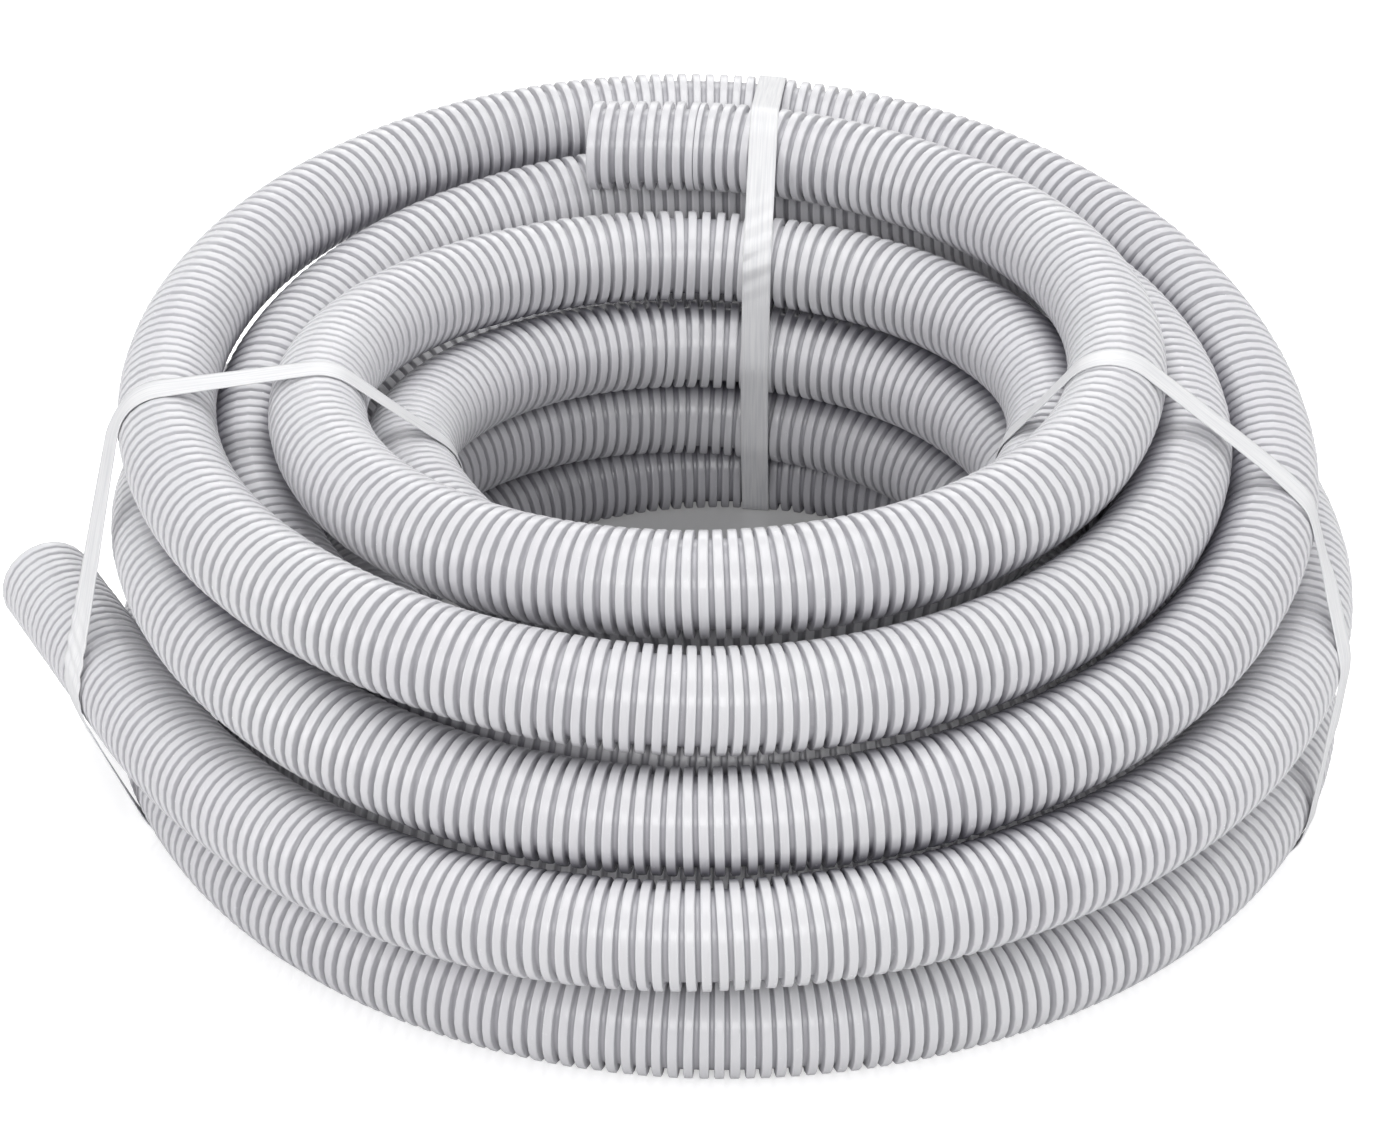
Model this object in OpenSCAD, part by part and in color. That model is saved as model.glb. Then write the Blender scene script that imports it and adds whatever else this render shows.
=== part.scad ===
// Coiled pool vacuum hose: one length of ribbed hose with bare cut ends,
// wound round an open eye and bound with three flat plastic straps.
// +Z is up, the coil lies on the plane z = 0, and the origin is the middle
// of its footprint. All sizes are in millimetres.

/* [Hose] */
// inside diameter
bore_d = 38; // [25:1:50]
// thickness of the wall at the bottom of a groove
wall_t = 1; // [0.8:0.1:3]
// depth of the grooves between the ribs
groove_depth = 4; // [1:0.25:6]
// distance from one rib to the next
rib_pitch = 7; // [5:0.5:12]

/* [Coil] */
// clear width of the eye in the middle
eye_d = 280; // [220:5:400]
// room left between neighbouring turns
lay_gap = 0.6; // [0.5:0.1:4]
// how deep the lowest turns are pressed flat
base_flat = 4.8; // [2:0.1:6]
// ribs formed along the top turn
turn_ribs = 55; // [10:1:90]

/* [Ends] */
// ribs on the straight piece at the top end
top_end_ribs = 5; // [2:1:8]
// ribs on the straight piece at the free end
free_end_ribs = 13; // [6:1:20]
// straight run of the top turn before its end piece
top_stub = 13; // [8:1:24]
// straight run of the last turn before the free end
free_stub = 48; // [40:1:60]

/* [Straps] */
// width of the strapping
strap_w = 15; // [9:1:19]
// thickness of the strapping
strap_t = 0.6; // [0.4:0.1:1]
// clearance between a strap and the hose
strap_fit = 0.3; // [0.2:0.05:0.6]
// where the back strap crosses the eye's edge, clockwise from the back
back_in = 12; // [0:0.5:20]
// where the back strap crosses the outer turns
back_out = 8.5; // [0:0.5:20]
// where the right strap crosses the eye's edge
right_in = 106; // [95:0.5:112]
// where the right strap crosses the outer turns
right_out = 103.5; // [95:0.5:110]
// where the left strap crosses the eye's edge
left_in = 264.5; // [255:0.5:280]
// where the left strap crosses the outer turns
left_out = 264.5; // [255:0.5:270]
// how far the right strap leans towards the front inside the eye, per length down
right_lean_in = -0.2; // [-0.4:0.05:0.4]
// how far the right strap leans towards the front outside the coil, per length down
right_lean_out = 0.5; // [-0.6:0.05:0.6]
// how far the left strap leans towards the back outside the coil, per length down
left_lean_out = -0.55; // [-0.6:0.05:0.6]

/* [Hidden] */

hose_grey = [0.78, 0.78, 0.82];
strap_white = [0.93, 0.94, 0.95];

// Outside diameter, over the ribs.
hose_od = bore_d + 2 * (wall_t + groove_depth);
// One turn width: the step from a turn to its neighbour.
step = hose_od + lay_gap;
// Radius of the innermost column and height of the lowest level.
inner_r = eye_d / 2 + hose_od / 2;
floor_z = hose_od / 2 - base_flat;

// Winding chart. Each row is one turn, from the top turn's end downwards,
// at the back, right, front and left of the coil. Each seat is [column,
// level]: turn widths outward from the eye, and up from the floor.
lead_in = [1.30, 3.84];
turns = [
    [[1.09, 3.88], [0.70, 3.75], [0.60, 3.65], [0.54, 3.34]],
    [[0.16, 2.96], [0.21, 2.88], [-0.15, 2.90], [-0.22, 2.42]],
    [[-0.05, 1.97], [0.05, 1.85], [0.00, 1.50], [0.20, 1.28]],
    [[0.15, 0.98], [0.00, 0.75], [0.10, 0.00], [0.28, 0.00]],
    [[0.51, 0.00], [0.80, 0.00], [1.20, 0.00], [1.36, 0.00]],
    [[1.39, 0.58], [1.50, 0.75], [1.45, 1.00], [1.40, 1.10]],
    [[1.15, 1.85], [1.15, 1.80], [0.95, 1.95], [1.28, 2.62]],
    [[1.76, 3.02], [1.40, 3.00], [1.50, 3.00], [2.08, 3.24]],
    [[2.74, 3.42], [2.33, 2.60], [2.00, 2.05], [2.23, 2.10]],
    [[2.42, 0.45], [2.75, 0.00], [2.45, 0.00], [2.44, 0.00]],
    [[3.54, 0.80], [2.80, 1.30], [2.75, 1.30], [3.15, 0.82]]
];
lead_out = [9.00, 0.00];
seats = concat([lead_in], [for (t = turns) for (s = t) s], [lead_out]);
// Where a turn strays from that smooth winding: at an angle along it, over so
// many degrees to each side, by [columns, levels].
strays = [
    [305, 60, [0, -0.06]],
    [470, 45, [-0.1, 0]],
    [610, 50, [-0.14, 0.12]],
    [575, 35, [0, -0.06]],
    [2738, 45, [-0.02, 0.06]],
    [2925, 50, [0.03, 0.03]]
];

// Angles run clockwise seen from above, with 0 at the back. Rings stand every
// ring_step after the first.
ring_step = 15;
turn_count = 360 / ring_step;
start_angle = -3;
first_ring = 10;
end_angle = 3850;
angles = concat([start_angle], [for (a = [first_ring : ring_step : end_angle]) a]);
sides = 6;

// A smooth curve through the seats, which lie a quarter turn apart.
function smooth(p0, p1, p2, p3, t) =
    0.5 * (2 * p1 + (p2 - p0) * t + (2 * p0 - 5 * p1 + 4 * p2 - p3) * t * t
    + (3 * p1 - p0 - 3 * p2 + p3) * t * t * t);
function stray(a, s) = (0.5 + 0.5 * cos(180 * min(1, abs(a - s[0]) / s[1]))) * s[2];
function seat_at(a) =
    let (u = a / 90 + 1, i = max(1, min(len(seats) - 3, floor(u))))
    smooth(seats[i - 1], seats[i], seats[i + 1], seats[i + 2], u - i)
    + [for (s = strays) 1] * [for (s = strays) stray(a, s)];
function outward(a) = [sin(a), cos(a), 0];
function along(a) = [cos(a), -sin(a), 0];
function centre_at(a) =
    let (s = seat_at(a))
    (inner_r + s[0] * step) * outward(a) + [0, 0, floor_z + max(0, s[1]) * step];
function unit(v) = v / norm(v);

// Each strap lies in an upright plane on top of the coil: a point of it at the
// eye's edge, its outward direction and its normal. Going down, the strap leans
// out of that plane, by one slope inside the eye and another outside the coil,
// from a height at each.
lean_start = 20;
function level_z(level) = floor_z + level * step;
function strap_plane(a_in, a_out, leans, levels) =
    let (
        p = eye_d / 2 * outward(a_in),
        d = unit((inner_r + 3 * step) * outward(a_out) - p))
    [p, d, [d[1], -d[0], 0], leans, [level_z(levels[0]), level_z(levels[1])]];
back_plane = strap_plane(back_in, back_out, [0, 0], [4, 4]);
right_plane = strap_plane(right_in, right_out, [right_lean_in, right_lean_out], [4.2, 3.2]);
left_plane = strap_plane(left_in, left_out, [0, left_lean_out], [4, 3.6]);
planes = [back_plane, right_plane, left_plane];
function lean_run(drop) = drop > 0 ? drop * drop / (drop + lean_start) : 0;
function sway(x, z, plane) =
    let (u = x / (3.5 * step))
    (1 - u) * plane[3][0] * lean_run(plane[4][0] - z) + u * plane[3][1] * lean_run(plane[4][1] - z);
function reach(v, plane) = (v - plane[0]) * plane[1];
function aside(v, plane) = (v - plane[0]) * plane[2] - sway(reach(v, plane), v[2], plane);

// The floor turns lift by a strap's thickness where they cross a strap.
strap_room = strap_t + 2 * strap_fit;
function crosses(c, plane) =
    reach(c, plane) > 0 && abs(aside(c, plane)) < norm([c[0], c[1]]) * sin(ring_step);
function base_at(c) = len([for (p = planes) if (crosses(c, p)) p]) > 0 ? strap_room : 0;

// A ring of the tube: centre, outward direction, upward direction, base height.
function level_ring(a) =
    let (c = centre_at(a))
    [c, outward(a), [0, 0, 1], base_at(c)];
function square_ring(c, dir) =
    let (u = unit(cross([0, 0, 1], dir)))
    [c, u, cross(dir, u), 0];
function ring_points(ring, r, n = sides) =
    [for (k = [0 : n - 1])
        let (v = ring[0] + r * (cos(360 * k / n) * ring[1] + sin(360 * k / n) * ring[2]))
        [v[0], v[1], max(ring[3], v[2])]];

// Both ends leave the winding straight, along its own direction there.
start_dir = unit(centre_at(start_angle) - centre_at(start_angle + 1));
end_dir = unit(centre_at(end_angle) - centre_at(end_angle - 1));
top_joint = centre_at(start_angle) + top_stub * start_dir;
free_joint = centre_at(end_angle) + free_stub * end_dir;
top_end_len = top_end_ribs * rib_pitch;
free_end_len = free_end_ribs * rib_pitch;
top_tip = top_joint + top_end_len * start_dir;
free_tip = free_joint + free_end_len * end_dir;

turn_rings = [for (a = angles) level_ring(a)];
coil_rings = concat(
    [square_ring(top_joint, -start_dir)],
    turn_rings,
    [square_ring(free_joint, end_dir)]);

// A ring part of the way between two others, for the ribs.
function between(p, q, t) = [for (k = [0 : 3]) p[k] * (1 - t) + q[k] * t];
function ring_gap(i) = norm(coil_rings[i + 1][0] - coil_rings[i][0]);

// Distance along the top turn at each ring, from the first ribbed one.
ribbed_from = 1;
ribbed_len = turn_ribs * rib_pitch;
function run_to(i) = i <= ribbed_from ? 0 : run_to(i - 1) + ring_gap(i - 1);
ribbed_runs = [for (i = [ribbed_from : ribbed_from + turn_count]) run_to(i)];
function ring_at_run(s) =
    let (
        below = [for (k = [0 : turn_count - 1]) if (ribbed_runs[k] <= s) k],
        k = below[len(below) - 1],
        t = (s - ribbed_runs[k]) / (ribbed_runs[k + 1] - ribbed_runs[k]))
    between(coil_rings[ribbed_from + k], coil_rings[ribbed_from + k + 1], t);
plain_from = ribbed_from + len([for (s = ribbed_runs) if (s <= ribbed_len) s]);

// The outer skin, as pairs of a ring and its radius: plain, then ribbed along
// the top turn, then plain to the free end.
crest_r = hose_od / 2;
groove_r = crest_r - groove_depth;
outer_skin = concat(
    [for (i = [0 : ribbed_from]) ring_points(coil_rings[i], crest_r)],
    [for (j = [1 : turn_ribs]) for (part = [-0.5, 0])
        ring_points(ring_at_run((j + part) * rib_pitch), part < 0 ? groove_r : crest_r)],
    [for (i = [plain_from : len(coil_rings) - 1]) ring_points(coil_rings[i], crest_r)]);
bore_skin = [for (ring = coil_rings) ring_points(ring, bore_d / 2)];

// Faces of a tube between rings of n points, and the flat ring at an end.
function skin_faces(count, n, first, inward) =
    [for (i = [0 : count - 2]) for (k = [0 : n - 1])
        let (
            a = first + i * n + k,
            b = first + i * n + (k + 1) % n,
            c = a + n,
            d = b + n)
        for (f = inward ? [[a, c, b], [b, c, d]] : [[a, b, c], [b, d, c]]) f];
function end_faces(outer, inner, n, back) =
    [for (k = [0 : n - 1])
        let (
            a = outer + k,
            b = outer + (k + 1) % n,
            c = inner + k,
            d = inner + (k + 1) % n)
        for (f = back ? [[a, c, b], [b, c, d]] : [[a, b, c], [b, d, c]]) f];

module hose_coil() {
    outer_count = len(outer_skin);
    bore_count = len(bore_skin);
    bore_first = outer_count * sides;
    last_outer = (outer_count - 1) * sides;
    last_bore = bore_first + (bore_count - 1) * sides;
    points = concat(
        [for (ring = outer_skin) for (v = ring) v],
        [for (ring = bore_skin) for (v = ring) v]);
    faces = concat(
        skin_faces(outer_count, sides, 0, true),
        skin_faces(bore_count, sides, bore_first, false),
        end_faces(0, bore_first, sides, false),
        end_faces(last_outer, last_bore, sides, true));
    color(hose_grey)
        translate(footprint)
            polyhedron(points = points, faces = faces, convexity = 10);
}

// A straight ribbed piece from a joint, along dir, with an exact round bore.
rib_sides = 8;
module straight_end(from, dir, ribs) {
    length = ribs * rib_pitch;
    flat_groove_r = groove_r / cos(180 / rib_sides);
    profile = concat(
        [[0, 0]],
        [for (j = [0 : ribs - 1]) for (part = [0, 0.5])
            [part == 0 ? crest_r : flat_groove_r, (j + part) * rib_pitch]],
        [[crest_r, length], [0, length]]);
    heading = atan2(dir[1], dir[0]);
    tilt = acos(dir[2]);
    color(hose_grey)
        translate(footprint + from)
            rotate([0, tilt, heading])
                difference() {
                    rotate_extrude($fn = rib_sides)
                        polygon(profile);
                    translate([0, 0, -1])
                        cylinder(d = bore_d, h = length + 2, $fn = 96);
                }
}

module hose_top_end() {
    straight_end(top_joint, start_dir, top_end_ribs);
}

module hose_free_end() {
    straight_end(free_joint, end_dir, free_end_ribs);
}

// Where a run of the tube, between two of its rings, crosses a strap's width
// and a little beside it, as [outward, up]. A face's diagonal counts as an edge.
edge = strap_w / 2;
seen = edge + 1;
function crossing(v0, v1, w, plane) =
    let (t = (w - aside(v0, plane)) / (aside(v1, plane) - aside(v0, plane)), v = v0 * (1 - t) + v1 * t)
    [reach(v, plane), v[2]];
function run_section(r0, r1, plane) =
    [for (k = [0 : len(r0) - 1]) for (v0 = [r0[k], r0[(k + 1) % len(r0)]])
        let (v1 = r1[k], a0 = aside(v0, plane), a1 = aside(v1, plane))
        for (p = concat(
            [for (w = [-seen, seen]) if ((a0 - w) * (a1 - w) < 0) crossing(v0, v1, w, plane)],
            [for (v = [v0, v1]) if (abs(aside(v, plane)) < seen) [reach(v, plane), v[2]]]))
            if (p[0] > -step) p];
smooth_sides = 2 * rib_sides;
free_run = [for (c = [free_joint, free_tip]) ring_points(square_ring(c, end_dir), crest_r, smooth_sides)];
coil_run = [for (ring = coil_rings) ring_points(ring, crest_r)];
function strap_section(plane) = concat(
    [for (i = [0 : len(coil_run) - 2]) for (p = run_section(coil_run[i], coil_run[i + 1], plane)) p],
    run_section(free_run[0], free_run[1], plane));

// The outline of a tight band round a section, going anticlockwise, found one
// corner after another.
close = 0.05;
function side_of(a, b, c) = (b[0] - a[0]) * (c[1] - a[1]) - (b[1] - a[1]) * (c[0] - a[0]);
function next_corner(points, from, best, i) =
    i == len(points) ? best
    : next_corner(points, from,
        norm(points[i] - from) > close && (norm(best - from) <= close || side_of(from, best, points[i]) < 0)
            ? points[i] : best,
        i + 1);
function corners(points, found) =
    let (c = next_corner(points, found[len(found) - 1], points[0], 0))
    norm(c - found[0]) <= close || len(found) > 200 ? found : corners(points, concat(found, [c]));
function tight_outline(points) =
    let (low = min([for (p = points) p[0]]))
    corners(points, [[for (p = points) if (p[0] == low) p][0]]);

// That outline standing off by grow, and its points brought into the coil.
function stand_off(outline, grow) =
    let (n = len(outline))
    [for (i = [0 : n - 1])
        let (
            d0 = unit(outline[i] - outline[(i + n - 1) % n]),
            d1 = unit(outline[(i + 1) % n] - outline[i]),
            n0 = [d0[1], -d0[0]],
            n1 = [d1[1], -d1[0]])
        outline[i] + grow * (n0 + n1) / (1 + n0 * n1)];
function band_point(q, w, plane) =
    plane[0] + q[0] * plane[1] + (w + sway(q[0], q[1], plane)) * plane[2] + [0, 0, q[1]];
outlines = [for (p = planes) tight_outline(strap_section(p))];
outer_grow = strap_fit + strap_t;

// A closed band round the coil, as four rings of points joined by faces.
module strap(k) {
    n = len(outlines[k]);
    points = [for (w = [-edge, edge]) for (grow = [strap_fit, outer_grow])
        for (q = stand_off(outlines[k], grow)) band_point(q, w, planes[k])];
    faces = [for (pair = [[0, 2], [2, 3], [3, 1], [1, 0]]) for (i = [0 : n - 1])
        let (
            a = pair[0] * n + i,
            b = pair[0] * n + (i + 1) % n,
            c = pair[1] * n + (i + 1) % n,
            d = pair[1] * n + i)
        for (f = [[a, b, c], [a, c, d]]) f];
    color(strap_white)
        translate(footprint)
            polyhedron(points = points, faces = faces, convexity = 6);
}

module strap_back() {
    strap(0);
}

module strap_right() {
    strap(1);
}

module strap_left() {
    strap(2);
}

// The footprint's middle, from the outermost points of the hose and straps.
tip_points = concat(
    ring_points(square_ring(free_tip, end_dir), crest_r, rib_sides),
    ring_points(square_ring(top_tip, start_dir), crest_r, rib_sides));
hose_points = concat([for (ring = outer_skin) for (v = ring) v], tip_points);
strap_points = [for (k = [0 : len(planes) - 1]) for (w = [-edge, edge])
    for (q = stand_off(outlines[k], outer_grow)) band_point(q, w, planes[k])];
extents = concat(hose_points, strap_points);
function middle(k) =
    let (values = [for (p = extents) p[k]])
    (min(values) + max(values)) / 2;
footprint = [-middle(0), -middle(1), 0];

// The least gap of the hose to itself, measured at the rings of each turn and
// along both straight ends, and the length along the hose.
function point_gap(p, a, b) =
    let (t = max(0, min(1, ((p - a) * (b - a)) / ((b - a) * (b - a)))))
    norm(p - a - t * (b - a)) - hose_od;
turn_gaps = [for (i = [2 : len(coil_rings) - 2]) for (j = [i + turn_count : turn_count : len(coil_rings) - 2])
    norm(coil_rings[i][0] - coil_rings[j][0]) - hose_od];
free_gaps = [for (t = [0 : 0.1 : 1]) for (i = [1 : len(coil_rings) - 6])
    point_gap(centre_at(end_angle) * (1 - t) + free_tip * t, coil_rings[i][0], coil_rings[i + 1][0])];
top_gaps = [for (t = [0 : 0.1 : 1]) for (i = [6 : len(coil_rings) - 3])
    point_gap(centre_at(start_angle) * (1 - t) + top_tip * t, coil_rings[i][0], coil_rings[i + 1][0])];
least_gap = min(concat(turn_gaps, free_gaps, top_gaps));
hose_len = [for (i = 0, s = 0; i < len(coil_rings) - 1; s = s + ring_gap(i), i = i + 1) s + ring_gap(i)];
echo(least_gap = least_gap, turns = min(turn_gaps), free = min(free_gaps), top = min(top_gaps));
echo(hose_length = hose_len[len(hose_len) - 1] + top_end_len + free_end_len);
echo(footprint = footprint, top_tip = top_tip + footprint, free_tip = free_tip + footprint);
echo(top_dir = start_dir, free_dir = end_dir);

hose_coil();
hose_top_end();
hose_free_end();
strap_back();
strap_right();
strap_left();
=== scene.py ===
import math

import bmesh
import bpy
import numpy as np
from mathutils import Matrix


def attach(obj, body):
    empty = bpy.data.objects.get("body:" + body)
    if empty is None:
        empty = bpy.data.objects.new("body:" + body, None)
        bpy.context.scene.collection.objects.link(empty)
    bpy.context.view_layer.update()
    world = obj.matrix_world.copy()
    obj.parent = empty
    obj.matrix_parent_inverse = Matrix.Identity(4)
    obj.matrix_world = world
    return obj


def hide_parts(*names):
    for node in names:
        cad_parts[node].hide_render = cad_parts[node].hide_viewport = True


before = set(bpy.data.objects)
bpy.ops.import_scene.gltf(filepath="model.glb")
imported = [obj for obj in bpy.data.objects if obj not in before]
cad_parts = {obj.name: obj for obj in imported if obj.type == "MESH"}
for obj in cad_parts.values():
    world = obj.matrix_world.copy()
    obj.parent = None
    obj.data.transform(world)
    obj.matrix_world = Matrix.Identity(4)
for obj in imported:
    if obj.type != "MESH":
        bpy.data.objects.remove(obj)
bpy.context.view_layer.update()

print("frame loaded")

camera = {
    "place": (-0.0254, -1.35844, 0.9716),
    "down": 33.81,          # degrees below the horizon
    "turned": 1.46,         # degrees towards +X
    "lens": 82.88,
    "sensor": 36.0,
    "farthest": 50,
}


def addCamera():
    data = bpy.data.cameras.new("camera")
    data.lens = camera["lens"]
    data.sensor_width = camera["sensor"]
    data.clip_end = camera["farthest"]
    obj = bpy.data.objects.new("camera", data)
    obj.location = camera["place"]
    obj.rotation_euler = (math.radians(90 - camera["down"]), 0, -math.radians(camera["turned"]))
    bpy.context.collection.objects.link(obj)
    bpy.context.scene.camera = obj


addCamera()
print("camera placed")

# The hose is wound clockwise from its top end, which lies at the back.
# Each turn is written as [column, level] at the back, right, front and left
# of the coil, counted in turn widths out from the eye and up from the floor.
winding = {
    "eyeCentre": (0.0187998, -0.0189361),
    "eyeWidth": 0.280,
    "hoseWidth": 0.048,
    "layGap": 0.0006,
    "pressedFlat": 0.0048,      # how deep the lowest turns sit into the floor
    "startAngle": -3,
    "endAngle": 3850,
    "angleStep": 0.5,
    "topStraight": 0.048,
    "topPoints": 24,
    "freeStraight": 0.139,
    "freePoints": 80,
    "firstPoint": 0.002,        # how far from the turns a straight's points begin
    "leadIn": (1.30, 3.84),
    "turns": [
        [(1.09, 3.88), (0.70, 3.75), (0.60, 3.65), (0.54, 3.34)],
        [(0.16, 2.96), (0.21, 2.88), (-0.15, 2.90), (-0.22, 2.42)],
        [(-0.05, 1.97), (0.05, 1.85), (0.00, 1.50), (0.20, 1.28)],
        [(0.15, 0.98), (0.00, 0.75), (0.10, 0.00), (0.28, 0.00)],
        [(0.51, 0.00), (0.80, 0.00), (1.20, 0.00), (1.36, 0.00)],
        [(1.39, 0.58), (1.50, 0.75), (1.45, 1.00), (1.40, 1.10)],
        [(1.15, 1.85), (1.15, 1.80), (0.95, 1.95), (1.28, 2.62)],
        [(1.76, 3.02), (1.40, 3.00), (1.50, 3.00), (2.08, 3.24)],
        [(2.74, 3.42), (2.33, 2.60), (2.00, 2.05), (2.23, 2.10)],
        [(2.42, 0.45), (2.75, 0.00), (2.45, 0.00), (2.44, 0.00)],
        [(3.54, 0.80), (2.80, 1.30), (2.75, 1.30), (3.15, 0.82)],
    ],
    "leadOut": (9.00, 0.00),
    "bulges": [                 # at an angle, over so many degrees, out by columns, up by levels
        (305, 60, 0.00, -0.06),
        (470, 45, -0.10, 0.00),
        (610, 50, -0.14, 0.12),
        (575, 35, 0.00, -0.06),
        (2738, 45, -0.02, 0.06),
        (2925, 50, 0.03, 0.03),
    ],
}


def unit(v):
    return v / np.linalg.norm(v, axis=-1, keepdims=True)


def swell(distance, spread):
    return 0.5 + 0.5 * np.cos(np.minimum(np.abs(distance) / spread, 1) * math.pi)


def eased(share):
    share = np.clip(share, 0, 1)
    return share * share * (3 - 2 * share)


def raysAround(t, turn):
    u = unit(np.cross((0, 0, 1), t))
    v = np.cross(t, u)
    return u[:, None] * np.cos(turn)[:, None] + v[:, None] * np.sin(turn)[:, None]


# Between its seats the route is a Catmull-Rom curve in column and level.
def seatAt(angles):
    w = winding
    seats = np.array([w["leadIn"]] + [s for turn in w["turns"] for s in turn] + [w["leadOut"]])
    u = angles / 90 + 1
    i = np.clip(np.floor(u).astype(int), 1, len(seats) - 3)
    t = (u - i)[:, None]
    p0, p1, p2, p3 = seats[i - 1], seats[i], seats[i + 1], seats[i + 2]
    seat = 0.5 * (2 * p1 + (p2 - p0) * t + (2 * p0 - 5 * p1 + 4 * p2 - p3) * t ** 2
                  + (3 * p1 - p0 - 3 * p2 + p3) * t ** 3)
    for middle, spread, out, up in w["bulges"]:
        seat = seat + swell(angles - middle, spread)[:, None] * (out, up)
    return seat


def turnPoints(angles):
    w = winding
    step = w["hoseWidth"] + w["layGap"]
    seat = seatAt(angles)
    radius = (w["eyeWidth"] + w["hoseWidth"]) / 2 + seat[:, 0] * step
    height = w["hoseWidth"] / 2 - w["pressedFlat"] + np.maximum(seat[:, 1], 0) * step
    a = np.radians(angles)
    cx, cy = w["eyeCentre"]
    return np.stack([cx + radius * np.sin(a), cy + radius * np.cos(a), height], -1)


def wholeRoute():
    w = winding
    angles = np.arange(w["startAngle"], w["endAngle"] + w["angleStep"] / 2, w["angleStep"])
    turns = turnPoints(angles)
    startDir = unit(turns[0] - turns[1])
    endDir = unit(turns[-1] - turns[-2])
    topReach = np.linspace(w["topStraight"], w["firstPoint"], w["topPoints"])
    freeReach = np.linspace(w["firstPoint"], w["freeStraight"], w["freePoints"])
    lead = turns[0] + startDir * topReach[:, None]
    tail = turns[-1] + endDir * freeReach[:, None]
    return np.vstack([lead, turns, tail])


def routeIndex(angle):
    return winding["topPoints"] + round((angle - winding["startAngle"]) / winding["angleStep"])


route = wholeRoute()
routeRun = np.concatenate([[0], np.cumsum(np.linalg.norm(np.diff(route, axis=0), axis=1))])
routeDir = unit(np.gradient(route, routeRun, axis=0))
hoseLength = float(routeRun[-1])
print("route", round(hoseLength, 4), "m, top", route[0].round(5), "free", route[-1].round(5))


def along(run, values):
    return np.stack([np.interp(run, routeRun, values[:, k]) for k in range(3)], -1)


# Small bows that the straps and the weight leave in the wound hose: at an angle
# along the winding, over so far, out from the eye and up.
bows = [
    (29, 0.23, 0, -0.0032),
    (3420, 0.45, -0.0024, 0),
    (3780, 0.30, 0, 0.0033),
]


def centreAt(run):
    w = winding
    centre = along(run, route)
    away = unit((centre - (*w["eyeCentre"], 0)) * (1, 1, 0))
    for angle, spread, out, up in bows:
        share = swell(run - routeRun[routeIndex(angle)], spread)[:, None]
        centre = centre + share * (away * out + np.array([0, 0, up]))
    return centre


# On top of the coil a strap lies in an upright plane, named by the angles where
# it crosses the eye's edge and the outer turns. Going down it leans out of that
# plane, by one slope inside the eye and another outside the coil.
straps = {
    "width": 0.015,
    "thickness": 0.0005,
    "clearance": 0.0003,
    "lowest": 0.0008,           # a strap's underside above the floor
    "floorRoom": 0.0012,        # how far the hose lifts off the floor over a strap
    "floorHalfWidth": 0.0095,   # and this far to both sides of the strap's middle
    "outerColumn": 3,           # where the outer of a strap's two angles is taken
    "leanColumn": 3.5,          # where the outer lean holds in full
    "loopFrom": -0.05,          # the least reach that belongs to a loop
    "skinHalfWidth": 0.011,     # the hose within this of a strap's middle shapes it
    "columnHalfWidth": 0.0026,
    "skinStep": 0.0025,         # along the hose
    "skinTurn": 5,              # degrees round the hose
    "columns": 13,
    "stepLength": 0.0016,
    "loopSmoothing": 3,
    "riseSmoothing": 4,
    "leastSlope": 1e-3,
    "places": {"back": (12, 8.5), "right": (106, 103.5), "left": (264.5, 264.5)},
    "leans": {"back": (0, 0), "right": (-0.20, 0.50), "left": (0, -0.55)},
    "leanLevels": {"back": (4, 4), "right": (4.2, 3.2), "left": (4, 3.6)},
    "leanStart": 0.020,         # the drop over which a lean sets in
    # A span turned on itself: from and to a height, by degrees, how much of it outwards.
    "twists": {
        "left": (0.062, 0.192, 13, 1),
        "right": (0.045, 0.135, -9, 0.5),
    },
    "twistEase": 0.018,
    "outside": 0.09,            # beyond this reach a strap hangs outside the coil
    # Cross folds: middle along the loop, reach, height, fold length, slant.
    "crumples": {
        "back": [(0.657, 0.022, 0.0015, 0.0115, 0.5)],
        "left": [(0.362, 0.016, 0.0009, 0.0085, -0.6)],
    },
}


def strapPlane(name):
    w = winding
    inner, outer = (math.radians(a) for a in straps["places"][name])
    step = w["hoseWidth"] + w["layGap"]
    r = w["eyeWidth"] / 2
    far = r + w["hoseWidth"] / 2 + straps["outerColumn"] * step
    cx, cy = w["eyeCentre"]
    p = np.array([r * math.sin(inner), r * math.cos(inner)])
    q = np.array([far * math.sin(outer), far * math.cos(outer)])
    out = unit(q - p)
    return p + (cx, cy), out, np.array([out[1], -out[0]])


def strapLean(name, reach, height):
    w = winding
    step = w["hoseWidth"] + w["layGap"]
    share = reach / (straps["leanColumn"] * step)
    runs = []
    for level in straps["leanLevels"][name]:
        drop = np.maximum(w["hoseWidth"] / 2 - w["pressedFlat"] + level * step - height, 0)
        runs.append(drop * drop / (drop + straps["leanStart"]))
    inner, outer = straps["leans"][name]
    return (1 - share) * inner * runs[0] + share * outer * runs[1]


def besideStrap(points, name):
    p, out, side = strapPlane(name)
    flat = points[..., :2] - p
    reach = flat @ out
    return reach, flat @ side - strapLean(name, reach, points[..., 2])


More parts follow.
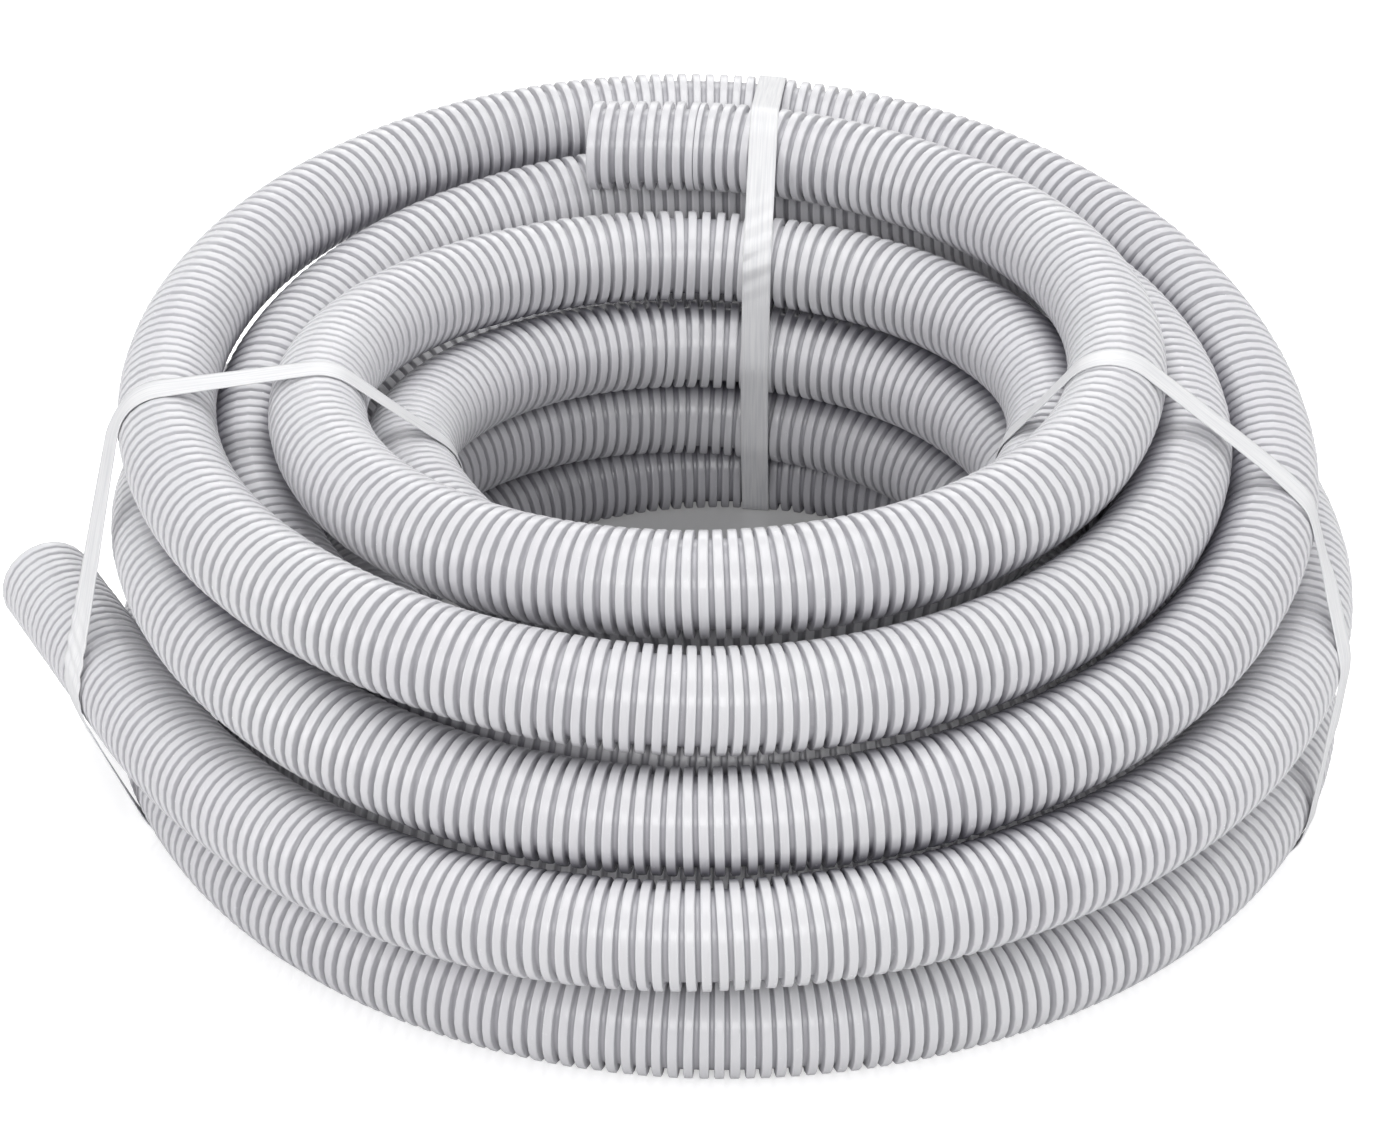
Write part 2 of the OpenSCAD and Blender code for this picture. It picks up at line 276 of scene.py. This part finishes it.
# One rib after another, each a stiff ring, so the grooves take all of the
# bending and close up on the eye's side.
ribs = {
    "pitch": 0.00696,
    "backStretch": 0.073,       # ribs stand wider apart at the back of the coil, closer at the front
    "profile": [                # along the hose, out from its axis, lean of the face, painted tone: painted shade low in the groove, painted highlight on the crest's rims
        (-0.00230, 0.0201, -0.35, 0.40),
        (-0.00219, 0.0232, -1.20, 0.61),
        (-0.00188, 0.0239, -0.72, 1.00),
        (-0.00118, 0.0240, -0.08, 0.93),
        (0.00118, 0.0240, 0.08, 0.93),
        (0.00188, 0.0239, 0.72, 1.00),
        (0.00219, 0.0232, 1.20, 0.61),
        (0.00230, 0.0201, 0.35, 0.40),
    ],
    "groove": (0.0200, 0.0, 0.59),      # out from the axis, lean, painted shade tone of the groove floor
    # At the cut ends the tones paint a highlight on the mouth's rim and shade below it.
    "mouth": [
        (-0.0026, 0.0193, -1.50, 0.75),
        (-0.0026, 0.0232, -1.50, 0.87),
        (-0.0022, 0.0239, -0.70, 1.00),
        (-0.0012, 0.0240, 0.00, 0.93),
    ],
    # Inside the mouths the lower tones are painted shade.
    "boreProfile": [
        (0.0015, 0.0190, 0.40, 0.66),
        (0.0013, 0.0226, 0.80, 0.54),
        (-0.0013, 0.0226, -0.80, 0.54),
        (-0.0015, 0.0190, -0.40, 0.66),
    ],
    "nook": (0.0115, 1.0),      # painted shade: the colour darkens this near to another turn, by so much
    "eyeDepth": (0.20, 0.115, 0.48),    # and painted shade inside the eye: within a radius, below a height, by so much
    "boreRibs": 24,             # ribs that show inside each mouth
    "boreRadius": 0.0188,       # the plain bore, out of sight
    # painted shade inside the plain bore
    "boreTone": 0.5,
    "boreEvery": 3,             # with a ring for every third rib
    "sides": 24,
    "pieces": 6,
    "pitchSpread": 0.022,
    "widthSpread": 0.030,
    "oddSteps": [(0, 0.94), (2, 1.05), (7, 0.53), (8, 0.90), (9, 0.93), (10, 0.94), (11, 0.95)],
    "oddWidths": [(8, 0.62), (-14, 1.30)],
    # The rings at the top end stand askew: degrees, ribs that it takes to fade, and how it fades.
    "endTurn": (10.5, 19, 0.7),
    "cutShort": 0.0032,         # off the top end
    "floorRoom": 0.0002,
    "tiltSpread": 0.006,
    "sizeSpread": 0.003,
    "seed": 11,
}


# How much painted shade darkens each side of each rib near the other turns and deep in the eye.
def paintedCreviceShade(run, centre, ray):
    w = winding
    turnRun = routeRun[w["topPoints"]:routeIndex(w["endAngle"]) + 1]
    turnAngle = w["startAngle"] + w["angleStep"] * np.arange(len(turnRun))
    middle = centreAt(turnRun)
    out = np.linalg.norm(middle[:, :2] - w["eyeCentre"], axis=1)
    skinPoints = centre[:, None] + ray * w["hoseWidth"] / 2
    reach = np.linalg.norm(skinPoints[..., :2] - w["eyeCentre"], axis=-1)
    height = skinPoints[..., 2]
    here = np.interp(run, turnRun, turnAngle)
    gap = np.ones(reach.shape)
    turns = len(w["turns"])
    for n in range(1 - turns, turns):
        there = here + 360 * n
        other = (n != 0) & (there >= turnAngle[0]) & (there <= turnAngle[-1])
        away = np.interp(there, turnAngle, out)[:, None]
        level = np.interp(there, turnAngle, middle[:, 2])[:, None]
        space = np.hypot(reach - away, height - level) - w["hoseWidth"] / 2
        gap = np.where(other[:, None], np.minimum(gap, space), gap)
    near, most = ribs["nook"]
    share = eased(1 - gap / near) * most
    radius, top, deepest = ribs["eyeDepth"]
    low = np.clip((top - height) / top, 0, 1) * (reach < radius) * deepest
    return 1 - (1 - share) * (1 - low)


def ribFrames():
    rng = np.random.default_rng(ribs["seed"])
    w = winding
    step = np.arange(len(route)) - w["topPoints"]
    angle = np.clip(w["startAngle"] + w["angleStep"] * step, w["startAngle"], w["endAngle"])
    stretch = 1 + ribs["backStretch"] * np.cos(np.radians(angle))
    density = 2 / (stretch[1:] + stretch[:-1]) / ribs["pitch"]
    number = np.concatenate([[0], np.cumsum(np.diff(routeRun) * density)])
    count = int(round(number[-1]))
    steps = 1 + rng.normal(0, ribs["pitchSpread"], count - 1)
    for rib, width in ribs["oddSteps"]:
        steps[rib] = width
    wide = 1 + rng.normal(0, ribs["widthSpread"], count)
    for rib, width in ribs["oddWidths"]:
        wide[rib] = width
    at = np.concatenate([[0], np.cumsum(steps)])
    inset = -ribs["mouth"][0][0]
    short = inset + ribs["cutShort"]
    run = np.interp(at / at[-1] * number[-1], number, routeRun)
    run = short + run * (1 - (inset + short) / hoseLength)
    centre = centreAt(run)
    t = unit(along(run, routeDir))
    steady = np.ones(count)
    steady[[0, -1]] = 0
    askew, fadeRibs, fade = ribs["endTurn"]
    askew = math.radians(askew) * np.clip(1 - np.arange(count) / fadeRibs, 0, 1) ** fade
    t = unit(t - np.array([0, 1, 0]) * np.tan(askew)[:, None])
    t = unit(t + rng.normal(0, ribs["tiltSpread"], (count, 3)) * steady[:, None])
    size = 1 - np.abs(rng.normal(0, ribs["sizeSpread"], count)) * steady
    ray = raysAround(t, np.arange(ribs["sides"]) / ribs["sides"] * 2 * math.pi)
    back = np.concatenate([[0], np.diff(run) / 2])
    back[1:] += (wide[:-1] - wide[1:]) * ribs["profile"][-1][0] / 2
    return {"run": run, "centre": centre, "dir": t, "ray": ray, "size": size, "wide": wide, "back": back,
            "creviceShade": paintedCreviceShade(run, centre, ray)}


def onFloor(points):
    low = np.full(points.shape[:-1], ribs["floorRoom"])
    for name in straps["places"]:
        reach, aside = besideStrap(points, name)
        near = (reach > straps["loopFrom"]) & (np.abs(aside) < straps["floorHalfWidth"])
        low = np.where(near, straps["floorRoom"], low)
    points[..., 2] = np.maximum(points[..., 2], low)
    return points


def ringSpecs(first, last, frames):
    count = len(frames["run"])
    half = len(ribs["profile"]) // 2
    grooveRadius, grooveLean, grooveTone = ribs["groove"]

    def groove(k):
        return k, -frames["back"][k], grooveRadius, grooveLean, grooveTone, 1

    def plain(k, shift):
        return k, shift, ribs["boreRadius"], 0, ribs["boreTone"], -1

    skin = []
    for k in range(first, last):
        shape = list(ribs["profile"])
        if k == 0:
            shape = ribs["mouth"] + shape[half:]
        if k == count - 1:
            shape = shape[:half] + [(-a, r, -lean, tone) for a, r, lean, tone in reversed(ribs["mouth"])]
        if k > 0:
            skin.append(groove(k))
        wide = frames["wide"][k] if 0 < k < count - 1 else 1
        skin += [(k, a * wide, r, lean, tone, 1) for a, r, lean, tone in shape]
    if last < count:
        skin.append(groove(last))
    bore = []
    ribbed = ribs["boreRibs"]
    if last < count:
        bore.append(plain(last, -frames["back"][last]))
    for k in reversed(range(first, last)):
        if k < ribbed or k >= count - ribbed:
            wide = min(frames["wide"][k], 1)
            bore += [(k, a * wide, r, lean, tone, -1) for a, r, lean, tone in ribs["boreProfile"]]
        elif (k - first) % ribs["boreEvery"] == 1:
            bore.append(plain(k, 0))
    if first > 0:
        bore.append(plain(first, -frames["back"][first]))
    return np.array(skin + bore)


def hosePiece(name, first, last, frames):
    spec = ringSpecs(first, last, frames)
    k = spec[:, 0].astype(int)
    shift, radius, lean, tone, facing = (spec[:, i] for i in range(1, 6))
    centre = frames["centre"][k] + frames["dir"][k] * shift[:, None]
    radius = radius * frames["size"][k]
    ray = frames["ray"][k]
    points = onFloor(centre[:, None] + ray * radius[:, None, None])
    normals = ray * (np.cos(lean) * facing)[:, None, None]
    normals = normals + frames["dir"][k][:, None] * np.sin(lean)[:, None, None]
    rings, sides = points.shape[:2]
    i = np.arange(rings)[:, None]
    j = np.arange(sides)[None, :]
    a = i * sides + j
    b = i * sides + (j + 1) % sides
    c = (i + 1) % rings * sides + (j + 1) % sides
    d = (i + 1) % rings * sides + j
    faces = np.stack([a, b, c, d], -1).reshape(-1, 4)
    flat = points.reshape(-1, 3)
    p = flat[faces] - flat[0]
    volume = (p[:, 0] * np.cross(p[:, 1], p[:, 2])).sum()
    if volume < 0:
        faces = faces[:, ::-1]
    mesh = bpy.data.meshes.new(name)
    mesh.from_pydata(flat.tolist(), [], faces.tolist())
    mesh.validate()
    mesh.shade_smooth()
    # This attribute carries painted shade and painted highlight: the profile's tones, darkened near other
    # turns and deep in the eye.
    paintedShadeAndHighlight = mesh.attributes.new("paintedShadeAndHighlight", "FLOAT", "POINT")
    tones = tone[:, None] * (1 - frames["creviceShade"][k] * (facing > 0)[:, None])
    paintedShadeAndHighlight.data.foreach_set("value", tones.ravel().astype(np.float32))
    mesh.normals_split_custom_set_from_vertices(unit(normals).reshape(-1, 3).tolist())
    obj = bpy.data.objects.new(name, mesh)
    bpy.context.collection.objects.link(obj)
    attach(obj, "root")
    return obj


def makeHose():
    frames = ribFrames()
    count = len(frames["run"])
    edges = np.linspace(0, count, ribs["pieces"] + 1).astype(int)
    pieces = []
    for n in range(ribs["pieces"]):
        first, last = int(edges[n]), int(edges[n + 1])
        piece = hosePiece("hoseRun%d" % (n + 1), first, last, frames)
        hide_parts("hose_coil")
        pieces.append(piece)
    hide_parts("hose_top_end")
    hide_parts("hose_free_end")
    print("hose", count, "ribs")
    return pieces


hosePieces = makeHose()


def convexHull(points):
    order = sorted(set(map(tuple, points.round(7).tolist())))

    def chain(seq):
        out = []
        for p in seq:
            while len(out) > 1 and ((out[-1][0] - out[-2][0]) * (p[1] - out[-2][1])
                                    - (out[-1][1] - out[-2][1]) * (p[0] - out[-2][0])) <= 0:
                out.pop()
            out.append(p)
        return out[:-1]
    return np.array(chain(order) + chain(order[::-1]))


def hoseSkin():
    run = np.arange(0, hoseLength, straps["skinStep"])
    centre = centreAt(run)
    ray = raysAround(unit(along(run, routeDir)), np.radians(np.arange(0, 360, straps["skinTurn"])))
    points = centre[:, None] + ray * winding["hoseWidth"] / 2
    points[..., 2] = np.maximum(points[..., 2], straps["floorRoom"])
    return points.reshape(-1, 3)


# The middle of a strap follows the coil's convex outline in the strap's plane;
# each column of it then rises to the outline of the hose beneath that column.
def strapLoop(name, skin):
    reach, aside = besideStrap(skin, name)
    near = (reach > straps["loopFrom"]) & (np.abs(aside) < straps["skinHalfWidth"])
    reach, aside, height = reach[near], aside[near], skin[near, 2]
    offsets = np.linspace(-0.5, 0.5, straps["columns"]) * straps["width"]
    hulls = []
    for off in offsets:
        here = np.abs(aside - off) < straps["columnHalfWidth"]
        hulls.append(convexHull(np.stack([reach[here], height[here]], -1)))
    middle = hulls[len(hulls) // 2]
    closed = np.vstack([middle, middle[:1]])
    run = np.concatenate([[0], np.cumsum(np.linalg.norm(np.diff(closed, axis=0), axis=1))])
    count = int(run[-1] / straps["stepLength"])
    at = np.arange(count) / count * run[-1]
    loop = np.stack([np.interp(at, run, closed[:, k]) for k in range(2)], -1)
    for _ in range(straps["loopSmoothing"]):
        loop = (np.roll(loop, 1, 0) + 2 * loop + np.roll(loop, -1, 0)) / 4
    tangent = unit(np.roll(loop, -1, 0) - np.roll(loop, 1, 0))
    normal = np.stack([tangent[:, 1], -tangent[:, 0]], -1)
    columns = []
    for hull in hulls:
        nextPoint = np.roll(hull, -1, 0)
        edge = unit(nextPoint - hull)
        facing = np.stack([edge[:, 1], -edge[:, 0]], -1)
        level = (facing * hull).sum(1)
        slope = normal @ facing.T
        gap = (level[None, :] - loop @ facing.T) / np.where(slope > straps["leastSlope"], slope, np.nan)
        rise = np.nanmin(gap, axis=1)
        for _ in range(straps["riseSmoothing"]):
            rise = (np.roll(rise, 1) + 2 * rise + np.roll(rise, -1)) / 4
        columns.append(rise)
    return loop, normal, offsets, np.array(columns).T, at


def strapTwist(name, loop, offsets):
    if name not in straps["twists"]:
        return np.zeros((len(loop), len(offsets)))
    low, high, degrees, outwards = straps["twists"][name]
    inward = np.minimum(loop[:, 1] - low, high - loop[:, 1]) / straps["twistEase"]
    share = eased(inward) * (loop[:, 0] > straps["outside"])
    turned = math.tan(math.radians(degrees))
    return share[:, None] * (turned * offsets + abs(turned) * straps["width"] / 2 * outwards)


def strapCrumples(name, at, offsets):
    lift = np.zeros((len(at), len(offsets)))
    for middle, reach, height, fold, slant in straps["crumples"].get(name, []):
        far = (at - middle)[:, None] + slant * offsets
        folds = 0.5 + 0.5 * np.cos(2 * math.pi * far / fold)
        lift += height * np.exp(-(far / reach) ** 2) * folds
    return lift


def makeStrap(name, skin):
    p, out, side = strapPlane(name)
    loop, normal, offsets, rise, at = strapLoop(name, skin)
    lift = rise + straps["clearance"] + strapTwist(name, loop, offsets) + strapCrumples(name, at, offsets)
    flat = loop[:, None] + normal[:, None] * lift[..., None]
    across = offsets[None, :] + strapLean(name, flat[..., 0], flat[..., 1])
    points = np.empty(flat.shape[:2] + (3,))
    points[..., :2] = p + flat[..., :1] * out + across[..., None] * side
    points[..., 2] = np.maximum(flat[..., 1], straps["lowest"])
    rows, cols = points.shape[:2]
    i = np.arange(rows)[:, None]
    j = np.arange(cols - 1)[None, :]
    nextRow = (i + 1) % rows
    faces = np.stack([i * cols + j, i * cols + j + 1, nextRow * cols + j + 1, nextRow * cols + j], -1)
    faces = faces.reshape(-1, 4)
    mesh = bpy.data.meshes.new("strap" + name.title())
    mesh.from_pydata(points.reshape(-1, 3).tolist(), [], faces.tolist())
    uv = mesh.uv_layers.new(name="strapUV")
    length = at[-1] + at[1]
    sideways = np.broadcast_to(j[..., None], (rows, cols - 1, 1)) + (0, 1, 1, 0)
    lengthwise = np.broadcast_to(at[:, None, None], (rows, cols - 1, 1)) + np.array([0, 0, 1, 1]) * at[1]
    corners = np.stack([sideways / (cols - 1) * straps["width"], lengthwise], -1)
    uv.data.foreach_set("uv", corners.astype(np.float32).ravel())
    middle = points.mean(axis=(0, 1))
    top = mesh.polygons[int(np.argmax(points[:, 0, 2])) * (cols - 1)]
    if np.dot(np.array(top.center) - middle, np.array(top.normal)) < 0:
        mesh.flip_normals()
    mesh.shade_smooth()
    obj = bpy.data.objects.new(mesh.name, mesh)
    bpy.context.collection.objects.link(obj)
    solid = obj.modifiers.new("thickness", "SOLIDIFY")
    solid.thickness = straps["thickness"]
    solid.offset = 1
    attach(obj, "root")
    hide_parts("strap_" + name)
    print("strap", name, "round", round(float(length), 3), "m")
    return obj


skin = hoseSkin()
strapPieces = [makeStrap(name, skin) for name in straps["places"]]


def newMaterial(name):
    material = bpy.data.materials.new(name)
    material.use_nodes = True
    nodes = material.node_tree.nodes
    return material, nodes, material.node_tree.links, nodes["Principled BSDF"]


hoseFinish = {
    "crest": (0.785, 0.780, 0.81, 1),
    # painted shade colour: the hose where the painted tone falls to nothing, in grooves, nooks and the
    # eye
    "groove": (0.20, 0.195, 0.23, 1),
    "scuffed": (0.825, 0.825, 0.845, 1),
    "cloudScale": 9,
    "cloudDetail": 4,
    "scuffRange": (0.35, 0.70),
    "grainScale": 420,
    "grainDetail": 3,
    "roughness": (0.19, 0.31),
    "bumpStrength": 0.05,
    "bumpDepth": 0.0004,
    "index": 1.48,
}


def greyHosePlastic():
    f = hoseFinish
    material, nodes, links, shader = newMaterial("greyHosePlastic")
    place = nodes.new("ShaderNodeTexCoord")
    cloud = nodes.new("ShaderNodeTexNoise")
    cloud.inputs["Scale"].default_value = f["cloudScale"]
    cloud.inputs["Detail"].default_value = f["cloudDetail"]
    grain = nodes.new("ShaderNodeTexNoise")
    grain.inputs["Scale"].default_value = f["grainScale"]
    grain.inputs["Detail"].default_value = f["grainDetail"]
    tint = nodes.new("ShaderNodeMix")
    tint.data_type = "RGBA"
    tint.inputs["A"].default_value = f["crest"]
    tint.inputs["B"].default_value = f["scuffed"]
    # The attribute mixes towards the dark colour: painted shade in grooves and nooks, painted highlight
    # on the crest rims.
    paintedShadeAndHighlight = nodes.new("ShaderNodeAttribute")
    paintedShadeAndHighlight.attribute_name = "paintedShadeAndHighlight"
    deep = nodes.new("ShaderNodeMix")
    deep.data_type = "RGBA"
    deep.inputs["A"].default_value = f["groove"]
    ramp = nodes.new("ShaderNodeMapRange")
    ramp.inputs["From Min"].default_value, ramp.inputs["From Max"].default_value = f["scuffRange"]
    gloss = nodes.new("ShaderNodeMapRange")
    gloss.inputs["To Min"].default_value, gloss.inputs["To Max"].default_value = f["roughness"]
    bump = nodes.new("ShaderNodeBump")
    bump.inputs["Strength"].default_value = f["bumpStrength"]
    bump.inputs["Distance"].default_value = f["bumpDepth"]
    links.new(place.outputs["Object"], cloud.inputs["Vector"])
    links.new(place.outputs["Object"], grain.inputs["Vector"])
    links.new(cloud.outputs["Fac"], ramp.inputs["Value"])
    links.new(ramp.outputs["Result"], tint.inputs["Factor"])
    links.new(paintedShadeAndHighlight.outputs["Fac"], deep.inputs["Factor"])
    links.new(tint.outputs["Result"], deep.inputs["B"])
    links.new(deep.outputs["Result"], shader.inputs["Base Color"])
    links.new(grain.outputs["Fac"], gloss.inputs["Value"])
    links.new(gloss.outputs["Result"], shader.inputs["Roughness"])
    links.new(grain.outputs["Fac"], bump.inputs["Height"])
    links.new(bump.outputs["Normal"], shader.inputs["Normal"])
    shader.inputs["IOR"].default_value = f["index"]
    return material


strapFinish = {
    "colour": (0.94, 0.94, 0.95, 1),
    "streak": (0.80, 0.805, 0.83, 1),
    "streakScale": (900, 26, 1),
    "streakDetail": 3,
    "streakRange": (0.30, 0.62),
    "roughness": 0.38,
    "alpha": 0.93,
    "bumpStrength": 0.25,
    "bumpDepth": 0.0003,
}


def whiteStrapPlastic():
    f = strapFinish
    material, nodes, links, shader = newMaterial("whiteStrapPlastic")
    place = nodes.new("ShaderNodeUVMap")
    place.uv_map = "strapUV"
    stretch = nodes.new("ShaderNodeMapping")
    stretch.inputs["Scale"].default_value = f["streakScale"]
    streaks = nodes.new("ShaderNodeTexNoise")
    streaks.inputs["Scale"].default_value = 1
    streaks.inputs["Detail"].default_value = f["streakDetail"]
    tint = nodes.new("ShaderNodeMix")
    tint.data_type = "RGBA"
    tint.inputs["A"].default_value = f["streak"]
    tint.inputs["B"].default_value = f["colour"]
    ramp = nodes.new("ShaderNodeMapRange")
    ramp.inputs["From Min"].default_value, ramp.inputs["From Max"].default_value = f["streakRange"]
    bump = nodes.new("ShaderNodeBump")
    bump.inputs["Strength"].default_value = f["bumpStrength"]
    bump.inputs["Distance"].default_value = f["bumpDepth"]
    links.new(place.outputs["UV"], stretch.inputs["Vector"])
    links.new(stretch.outputs["Vector"], streaks.inputs["Vector"])
    links.new(streaks.outputs["Fac"], ramp.inputs["Value"])
    links.new(ramp.outputs["Result"], tint.inputs["Factor"])
    links.new(tint.outputs["Result"], shader.inputs["Base Color"])
    links.new(streaks.outputs["Fac"], bump.inputs["Height"])
    links.new(bump.outputs["Normal"], shader.inputs["Normal"])
    shader.inputs["Roughness"].default_value = f["roughness"]
    shader.inputs["Alpha"].default_value = f["alpha"]
    return material


hosePlastic = greyHosePlastic()
strapPlastic = whiteStrapPlastic()
for piece in hosePieces:
    piece.data.materials.append(hosePlastic)
for piece in strapPieces:
    piece.data.materials.append(strapPlastic)
print("materials on")


studio = {
    "floorSize": 14,
    "floorColour": (0.86, 0.86, 0.865, 1),
    "shadedColour": (0.34, 0.34, 0.35, 1),      # inside the eye
    "floorRoughness": 0.07,
    "floorIndex": 1.9,
    "floorGlow": (0.02, 0.60),  # lifts the pale floor to white, less so inside the eye
    "glowRadii": (0.10, 0.36),
    "ambient": (0.12, 0.56),    # at the horizon and overhead
    "lampAim": (0, 0, 0.1),
    "lamps": {
        "overhead": {"place": (0.0, 0.10, 1.9), "size": (1.3, 1.1), "power": 12},
        "front": {"place": (-0.2, -2.3, 1.7), "size": (1.8, 0.8), "power": 22},
        "behind": {"place": (0.1, 2.3, 1.4), "size": (1.8, 0.9), "power": 11},
        "leftSide": {"place": (-2.0, -0.8, 0.8), "size": (1.0, 1.0), "power": 10},
        "rightSide": {"place": (2.0, -0.8, 0.8), "size": (1.0, 1.0), "power": 10},
    },
}


def addFloor():
    s = studio
    mesh = bpy.data.meshes.new("studioFloor")
    bm = bmesh.new()
    bmesh.ops.create_grid(bm, x_segments=1, y_segments=1, size=s["floorSize"] / 2)
    bm.to_mesh(mesh)
    bm.free()
    floor = bpy.data.objects.new("studioFloor", mesh)
    bpy.context.collection.objects.link(floor)
    material, nodes, links, shader = newMaterial("paleStudioFloor")
    shader.inputs["Roughness"].default_value = s["floorRoughness"]
    shader.inputs["IOR"].default_value = s["floorIndex"]
    place = nodes.new("ShaderNodeTexCoord")
    away = nodes.new("ShaderNodeVectorMath")
    away.operation = "DISTANCE"
    away.inputs[1].default_value = (*winding["eyeCentre"], 0)
    ease = nodes.new("ShaderNodeMapRange")
    ease.interpolation_type = "SMOOTHSTEP"
    ease.inputs["From Min"].default_value, ease.inputs["From Max"].default_value = s["glowRadii"]
    ease.inputs["To Min"].default_value, ease.inputs["To Max"].default_value = s["floorGlow"]
    shade = nodes.new("ShaderNodeMapRange")
    shade.inputs["From Min"].default_value, shade.inputs["From Max"].default_value = s["glowRadii"]
    tint = nodes.new("ShaderNodeMix")
    tint.data_type = "RGBA"
    tint.inputs["A"].default_value = s["shadedColour"]
    tint.inputs["B"].default_value = s["floorColour"]
    links.new(away.outputs["Value"], shade.inputs["Value"])
    links.new(shade.outputs["Result"], tint.inputs["Factor"])
    links.new(tint.outputs["Result"], shader.inputs["Base Color"])
    rays = nodes.new("ShaderNodeLightPath")
    glow = nodes.new("ShaderNodeMath")
    glow.operation = "MULTIPLY"
    links.new(place.outputs["Object"], away.inputs[0])
    links.new(away.outputs["Value"], ease.inputs["Value"])
    links.new(ease.outputs["Result"], glow.inputs[1])
    links.new(rays.outputs["Is Camera Ray"], glow.inputs[0])
    shader.inputs["Emission Color"].default_value = (1, 1, 1, 1)
    links.new(glow.outputs["Value"], shader.inputs["Emission Strength"])
    mesh.materials.append(material)


def aimAt(place, aim):
    x, y, z = (a - p for a, p in zip(aim, place))
    flat = math.hypot(x, y)
    return math.atan2(flat, -z), 0, math.atan2(-x, y) if flat else 0


def addLamp(name, place, size, power):
    data = bpy.data.lights.new(name, "AREA")
    data.shape = "RECTANGLE"
    data.size, data.size_y = size
    data.energy = power
    obj = bpy.data.objects.new(name, data)
    obj.location = place
    obj.rotation_euler = aimAt(place, studio["lampAim"])
    bpy.context.collection.objects.link(obj)


def addWorld():
    world = bpy.data.worlds.new("studioWorld")
    bpy.context.scene.world = world
    world.use_nodes = True
    nodes, links = world.node_tree.nodes, world.node_tree.links
    back = nodes["Background"]
    back.inputs["Color"].default_value = (1, 1, 1, 1)
    rays = nodes.new("ShaderNodeLightPath")
    either = nodes.new("ShaderNodeMath")
    either.operation = "MAXIMUM"
    third = nodes.new("ShaderNodeMath")
    third.operation = "MAXIMUM"
    links.new(rays.outputs["Is Camera Ray"], either.inputs[0])
    links.new(rays.outputs["Is Glossy Ray"], either.inputs[1])
    links.new(either.outputs["Value"], third.inputs[0])
    links.new(rays.outputs["Is Transmission Ray"], third.inputs[1])
    place = nodes.new("ShaderNodeTexCoord")
    axes = nodes.new("ShaderNodeSeparateXYZ")
    links.new(place.outputs["Generated"], axes.inputs["Vector"])
    sky = nodes.new("ShaderNodeMapRange")
    sky.inputs["To Min"].default_value, sky.inputs["To Max"].default_value = studio["ambient"]
    links.new(axes.outputs["Z"], sky.inputs["Value"])
    strength = nodes.new("ShaderNodeMapRange")
    links.new(sky.outputs["Result"], strength.inputs["To Min"])
    strength.inputs["To Max"].default_value = 1.0
    links.new(third.outputs["Value"], strength.inputs["Value"])
    links.new(strength.outputs["Result"], back.inputs["Strength"])


addFloor()
for lampName, lamp in studio["lamps"].items():
    addLamp(lampName, lamp["place"], lamp["size"], lamp["power"])
addWorld()
bpy.context.scene.view_settings.view_transform = "Standard"
print("studio ready")
